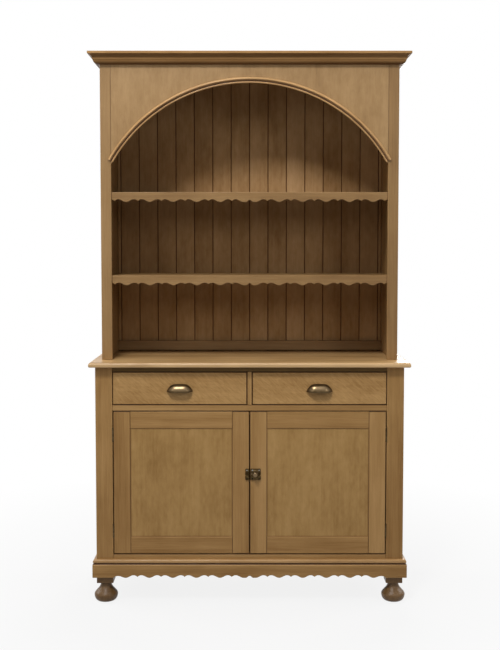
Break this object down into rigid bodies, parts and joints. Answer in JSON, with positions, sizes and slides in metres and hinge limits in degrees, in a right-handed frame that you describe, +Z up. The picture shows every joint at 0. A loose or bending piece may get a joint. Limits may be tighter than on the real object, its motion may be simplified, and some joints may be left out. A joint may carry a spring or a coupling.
{
  "type": "welsh dresser",
  "caption": "Wooden welsh dresser: arched plate rack with scalloped shelves over a base with inset drawers, panelled doors and bun feet.",
  "frame": {"origin": "on the floor, at the middle of the worktop's outline", "axes": "+X to the viewer's right, -Y out of the front, +Z up"},
  "size_m": [1.194, 0.43, 2.049],
  "materials": {
    "polished_wood": "satin polished, fine figured grain",
    "turned_feet": "darker polish, satin gloss",
    "back_boarding": "satin polished",
    "inside_wood": "plain unpolished wood",
    "aged_brass": "aged",
    "dark_brass": "dark, aged",
    "steel": "dull"
  },
  "bodies": {
    "dresser": {"arch_frieze": "polished_wood", "arch_moulding": "polished_wood", "base_back_boards": "back_boarding", "base_bottom_rail": "polished_wood", "base_middle_rail": "polished_wood", "base_sides": "polished_wood", "base_stiles": "polished_wood", "base_top_rail": "polished_wood", "bun_feet": "turned_feet", "cornice": "polished_wood", "cupboard_floor": "inside_wood", "cupboard_shelf": "inside_wood", "door_stop": "inside_wood", "drawer_kickers": "inside_wood", "drawer_muntin": "polished_wood", "drawer_runners": "inside_wood", "foot_blocks": "turned_feet", "hinge_frame_leaves": "dark_brass", "hinge_frame_screws": "steel", "hinge_pins": "dark_brass", "lower_shelf": "polished_wood", "plinth_boards": "polished_wood", "plinth_moulding": "polished_wood", "rack_back_boards": "back_boarding", "rack_back_rail": "back_boarding", "rack_dowels": "inside_wood", "rack_sides": "polished_wood", "rack_stiles": "polished_wood", "rack_top_board": "polished_wood", "shelf_cleats": "inside_wood", "shelf_edgings": "polished_wood", "upper_shelf": "polished_wood", "worktop": "polished_wood"},
    "left_door": {"left_door_hinge_stile": "polished_wood", "left_door_lock_stile": "polished_wood", "left_door_rails": "polished_wood", "left_door_panel": "polished_wood", "left_door_hinge_leaves": "dark_brass", "left_door_screws": "steel", "latch_keep": "aged_brass", "door_bolt_plate": "dark_brass"},
    "right_door": {"right_door_hinge_stile": "polished_wood", "right_door_lock_stile": "polished_wood", "right_door_rails": "polished_wood", "right_door_panel": "polished_wood", "right_door_hinge_leaves": "dark_brass", "right_door_screws": "steel", "latch_case": "aged_brass"},
    "latch_slide": {"latch_bolt": "aged_brass"},
    "inner_bolt": {"door_bolt": "dark_brass"},
    "left_drawer": {"left_drawer_front": "polished_wood", "left_drawer_box": "inside_wood", "left_drawer_bottom": "inside_wood", "left_drawer_pull": "aged_brass", "left_drawer_pull_bolts": "steel"},
    "right_drawer": {"right_drawer_front": "polished_wood", "right_drawer_box": "inside_wood", "right_drawer_bottom": "inside_wood", "right_drawer_pull": "aged_brass", "right_drawer_pull_bolts": "steel"}
  },
  "joints": [
    {"name": "left_door_swing", "type": "hinge", "parent": "dresser", "child": "left_door", "pos_m": [-0.508, -0.185, 0.455], "axis": [0, 0, -1], "range_deg": [0, 170]},
    {"name": "right_door_swing", "type": "hinge", "parent": "dresser", "child": "right_door", "pos_m": [0.508, -0.185, 0.455], "axis": [0, 0, 1], "range_deg": [0, 170]},
    {"name": "latch_bolt_slide", "type": "slide", "parent": "right_door", "child": "latch_slide", "axis": [-1, 0, 0], "range_m": [0, 0.012]},
    {"name": "inner_bolt_slide", "type": "slide", "parent": "left_door", "child": "inner_bolt", "axis": [0, 0, 1], "range_m": [0, 0.012]},
    {"name": "left_drawer_slide", "type": "slide", "parent": "dresser", "child": "left_drawer", "axis": [0, -1, 0], "range_m": [0, 0.27]},
    {"name": "right_drawer_slide", "type": "slide", "parent": "dresser", "child": "right_drawer", "axis": [0, -1, 0], "range_m": [0, 0.27]}
  ]
}
